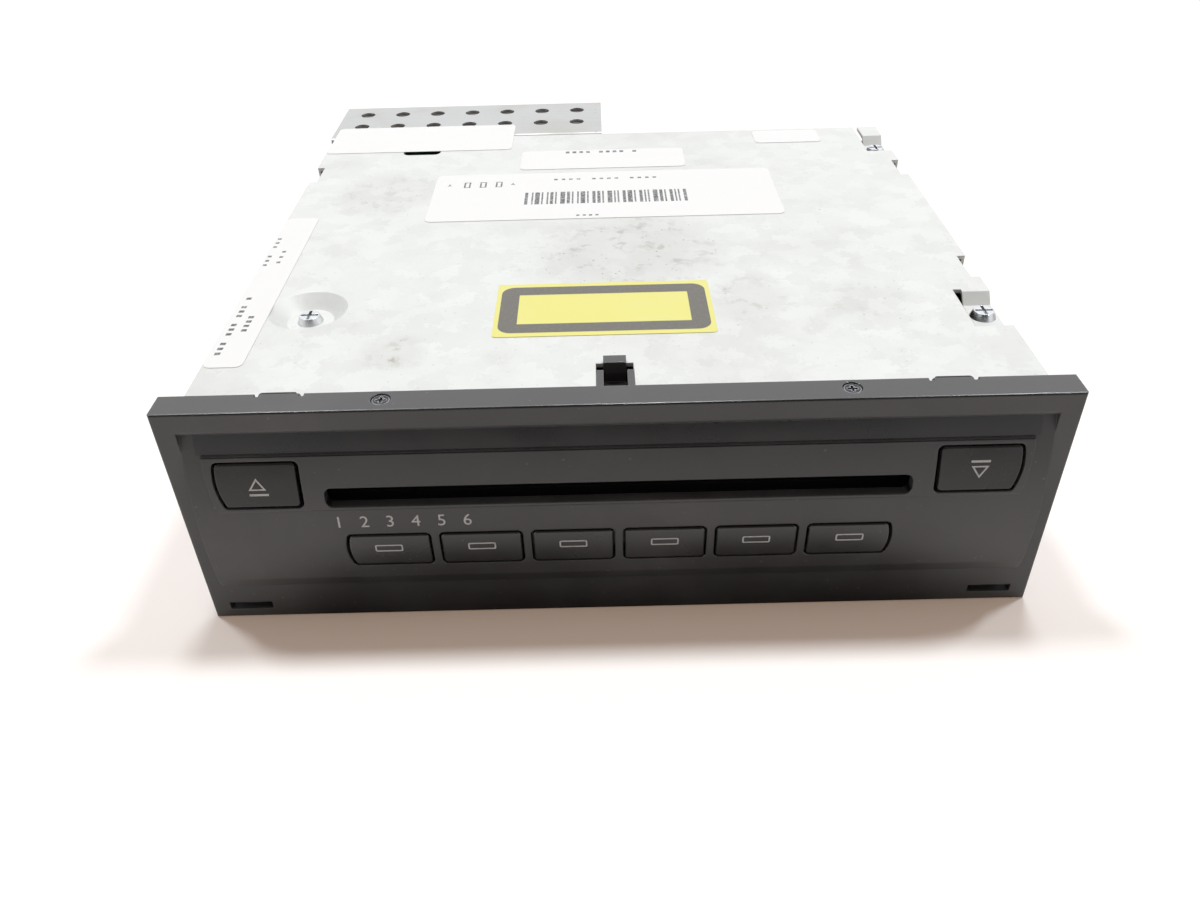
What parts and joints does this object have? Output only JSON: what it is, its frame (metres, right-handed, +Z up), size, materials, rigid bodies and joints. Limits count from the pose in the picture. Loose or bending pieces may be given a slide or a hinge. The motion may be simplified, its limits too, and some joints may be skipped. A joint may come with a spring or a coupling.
{
  "type": "car cd changer",
  "caption": "Slot-loading in-dash disc changer: charcoal fascia with eject, load and disc keys, galvanised steel case with stickers, and a perforated rear bracket.",
  "frame": {"origin": "middle of the whole object's footprint, at the lower edge of the fascia", "axes": "+X to the right seen from the front, +Y to the rear, away from the fascia, +Z up through the top cover"},
  "size_m": [0.188, 0.2072, 0.057],
  "materials": {
    "fascia": "fine matte moulded, charcoal",
    "eject_button": "smooth matte, charcoal",
    "load_button": "smooth matte, charcoal",
    "disc_buttons": "smooth matte, charcoal",
    "keypad_rubber": "silicone, matte",
    "circuit_board": "green solder mask",
    "switch_board": "black solder mask",
    "rim_screws": "black zinc",
    "zinc_screws": "bright zinc",
    "front_frame": "galvanised",
    "top_cover": "galvanised, dull with light grime",
    "bottom_pan": "galvanised, dull",
    "perforated_bracket": "galvanised, dull",
    "white_paper": "white film",
    "yellow_film": "printed film",
    "guide_plastic": "black",
    "polished_steel": "ground",
    "roller_rubber": "soft black",
    "motor_cans": "plated can",
    "gear_plastic": "acetal, natural white",
    "tray_plastic": "black, slightly satin",
    "lift_screws": "turned steel",
    "brass_nuts": "machined",
    "mechanism_base": "galvanised",
    "belt_rubber": "toothed belt",
    "arm_metal": "pressed",
    "sled_metal": "cast",
    "turntable": "black",
    "lens": "clear, coated",
    "board_parts": "black packages",
    "power_socket": "black",
    "optical_socket": "grey",
    "ribbon_film": "white flat cable",
    "spring_steel": "hardened strip"
  },
  "bodies": {
    "case": {"fascia": "fascia", "keypad_mat": "keypad_rubber", "switch_board": "switch_board", "rim_screws": "rim_screws", "front_frame": "front_frame", "top_cover": "top_cover", "bottom_pan": "bottom_pan", "perforated_bracket": "perforated_bracket", "bracket_screws": "zinc_screws", "cover_screws": "zinc_screws", "white_stickers": "white_paper", "yellow_sticker": "yellow_film", "disc_guide": "guide_plastic", "roller_bearing": "front_frame", "drive_bracket": "front_frame", "loading_motor": "motor_cans", "lift_belt": "belt_rubber", "lift_motor": "motor_cans", "mechanism_base": "mechanism_base", "rubber_dampers": "keypad_rubber", "main_board": "circuit_board", "board_parts": "board_parts", "power_socket": "power_socket", "optical_socket": "optical_socket", "ribbon_cable": "ribbon_film", "release_spring_left": "spring_steel", "release_spring_right": "spring_steel"},
    "eject_key": {"eject_button": "eject_button"},
    "load_key": {"load_button": "load_button"},
    "disc_key_1": {"disc_button_1": "disc_buttons"},
    "disc_key_2": {"disc_button_2": "disc_buttons"},
    "disc_key_3": {"disc_button_3": "disc_buttons"},
    "disc_key_4": {"disc_button_4": "disc_buttons"},
    "disc_key_5": {"disc_button_5": "disc_buttons"},
    "disc_key_6": {"disc_button_6": "disc_buttons"},
    "roller": {"roller_shaft": "polished_steel", "roller_sleeve": "roller_rubber", "roller_gear": "gear_plastic"},
    "idler": {"idler_gear": "gear_plastic"},
    "pinion": {"motor_pinion": "gear_plastic"},
    "tray_stack": {"disc_tray_1": "tray_plastic", "disc_tray_2": "tray_plastic", "disc_tray_3": "tray_plastic", "disc_tray_4": "tray_plastic", "disc_tray_5": "tray_plastic", "disc_tray_6": "tray_plastic", "tray_nuts": "brass_nuts"},
    "lift_spindle_1": {"lift_screw_1": "lift_screws"},
    "lift_spindle_2": {"lift_screw_2": "lift_screws"},
    "lift_spindle_3": {"lift_screw_3": "lift_screws"},
    "lift_spindle_4": {"lift_screw_4": "lift_screws"},
    "lift_pulley": {"drive_pulley": "gear_plastic"},
    "arm": {"traverse_arm": "arm_metal", "guide_rods": "polished_steel", "spindle_motor": "motor_cans", "sled_motor": "motor_cans"},
    "sled": {"pickup_sled": "sled_metal", "pickup_lens": "lens"},
    "feed_screw": {"sled_screw": "polished_steel"},
    "disc_table": {"turntable": "turntable"}
  },
  "joints": [
    {"name": "eject_key_press", "type": "slide", "parent": "case", "child": "eject_key", "axis": [0, 1, 0], "range_m": [0, 0.001], "stiffness_N_per_m": 600},
    {"name": "load_key_press", "type": "slide", "parent": "case", "child": "load_key", "axis": [0, 1, 0], "range_m": [0, 0.001], "stiffness_N_per_m": 600},
    {"name": "disc_key_1_press", "type": "slide", "parent": "case", "child": "disc_key_1", "axis": [0, 1, 0], "range_m": [0, 0.001], "stiffness_N_per_m": 600},
    {"name": "disc_key_2_press", "type": "slide", "parent": "case", "child": "disc_key_2", "axis": [0, 1, 0], "range_m": [0, 0.001], "stiffness_N_per_m": 600},
    {"name": "disc_key_3_press", "type": "slide", "parent": "case", "child": "disc_key_3", "axis": [0, 1, 0], "range_m": [0, 0.001], "stiffness_N_per_m": 600},
    {"name": "disc_key_4_press", "type": "slide", "parent": "case", "child": "disc_key_4", "axis": [0, 1, 0], "range_m": [0, 0.001], "stiffness_N_per_m": 600},
    {"name": "disc_key_5_press", "type": "slide", "parent": "case", "child": "disc_key_5", "axis": [0, 1, 0], "range_m": [0, 0.001], "stiffness_N_per_m": 600},
    {"name": "disc_key_6_press", "type": "slide", "parent": "case", "child": "disc_key_6", "axis": [0, 1, 0], "range_m": [0, 0.001], "stiffness_N_per_m": 600},
    {"name": "roller_spin", "type": "hinge", "parent": "case", "child": "roller", "pos_m": [0, -0.0829, 0.0322], "axis": [1, 0, 0], "continuous": true},
    {"name": "idler_spin", "type": "hinge", "parent": "case", "child": "idler", "pos_m": [0.0745, -0.07907, 0.02167], "axis": [1, 0, 0], "continuous": true},
    {"name": "pinion_spin", "type": "hinge", "parent": "case", "child": "pinion", "pos_m": [0.0745, -0.07606, 0.01341], "axis": [1, 0, 0], "continuous": true},
    {"name": "tray_lift", "type": "slide", "parent": "case", "child": "tray_stack", "axis": [0, 0, 1], "range_m": [0, 0.012]},
    {"name": "lift_screw_1_turn", "type": "hinge", "parent": "case", "child": "lift_spindle_1", "pos_m": [-0.074, -0.0599, 0.01], "axis": [0, 0, 1], "range_deg": [0, 2161]},
    {"name": "lift_screw_2_turn", "type": "hinge", "parent": "case", "child": "lift_spindle_2", "pos_m": [0.074, -0.0599, 0.01], "axis": [0, 0, 1], "range_deg": [0, 2161]},
    {"name": "lift_screw_3_turn", "type": "hinge", "parent": "case", "child": "lift_spindle_3", "pos_m": [0.074, 0.0121, 0.01], "axis": [0, 0, 1], "range_deg": [0, 2161]},
    {"name": "lift_screw_4_turn", "type": "hinge", "parent": "case", "child": "lift_spindle_4", "pos_m": [-0.074, 0.0121, 0.01], "axis": [0, 0, 1], "range_deg": [0, 2161]},
    {"name": "lift_pulley_turn", "type": "hinge", "parent": "case", "child": "lift_pulley", "pos_m": [0.02, -0.0599, 0.008], "axis": [0, 0, 1], "range_deg": [0, 2161]},
    {"name": "arm_swing", "type": "hinge", "parent": "case", "child": "arm", "pos_m": [-0.078, 0.0501, 0.0136], "axis": [0, 0, -1], "range_deg": [0, 40.24]},
    {"name": "sled_travel", "type": "slide", "parent": "arm", "child": "sled", "axis": [-1, 0, 0], "range_m": [0, 0.036]},
    {"name": "feed_screw_turn", "type": "hinge", "parent": "arm", "child": "feed_screw", "pos_m": [-0.02, 0.0346, 0.0164], "axis": [1, 0, 0], "range_deg": [0, 6481]},
    {"name": "turntable_spin", "type": "hinge", "parent": "arm", "child": "disc_table", "pos_m": [0.0242, 0.0501, 0.016], "axis": [0, 0, 1], "continuous": true}
  ],
  "couplings": [
    {"joint": "idler_spin", "follows": "roller_spin", "ratio": -1.3333},
    {"joint": "pinion_spin", "follows": "roller_spin", "ratio": 1.6},
    {"joint": "lift_screw_1_turn", "follows": "tray_lift", "rad_per_m": 3141.6},
    {"joint": "lift_screw_2_turn", "follows": "tray_lift", "rad_per_m": 3141.6},
    {"joint": "lift_screw_3_turn", "follows": "tray_lift", "rad_per_m": 3141.6},
    {"joint": "lift_screw_4_turn", "follows": "tray_lift", "rad_per_m": 3141.6},
    {"joint": "lift_pulley_turn", "follows": "tray_lift", "rad_per_m": 3141.6},
    {"joint": "feed_screw_turn", "follows": "sled_travel", "rad_per_m": 3141.6}
  ]
}
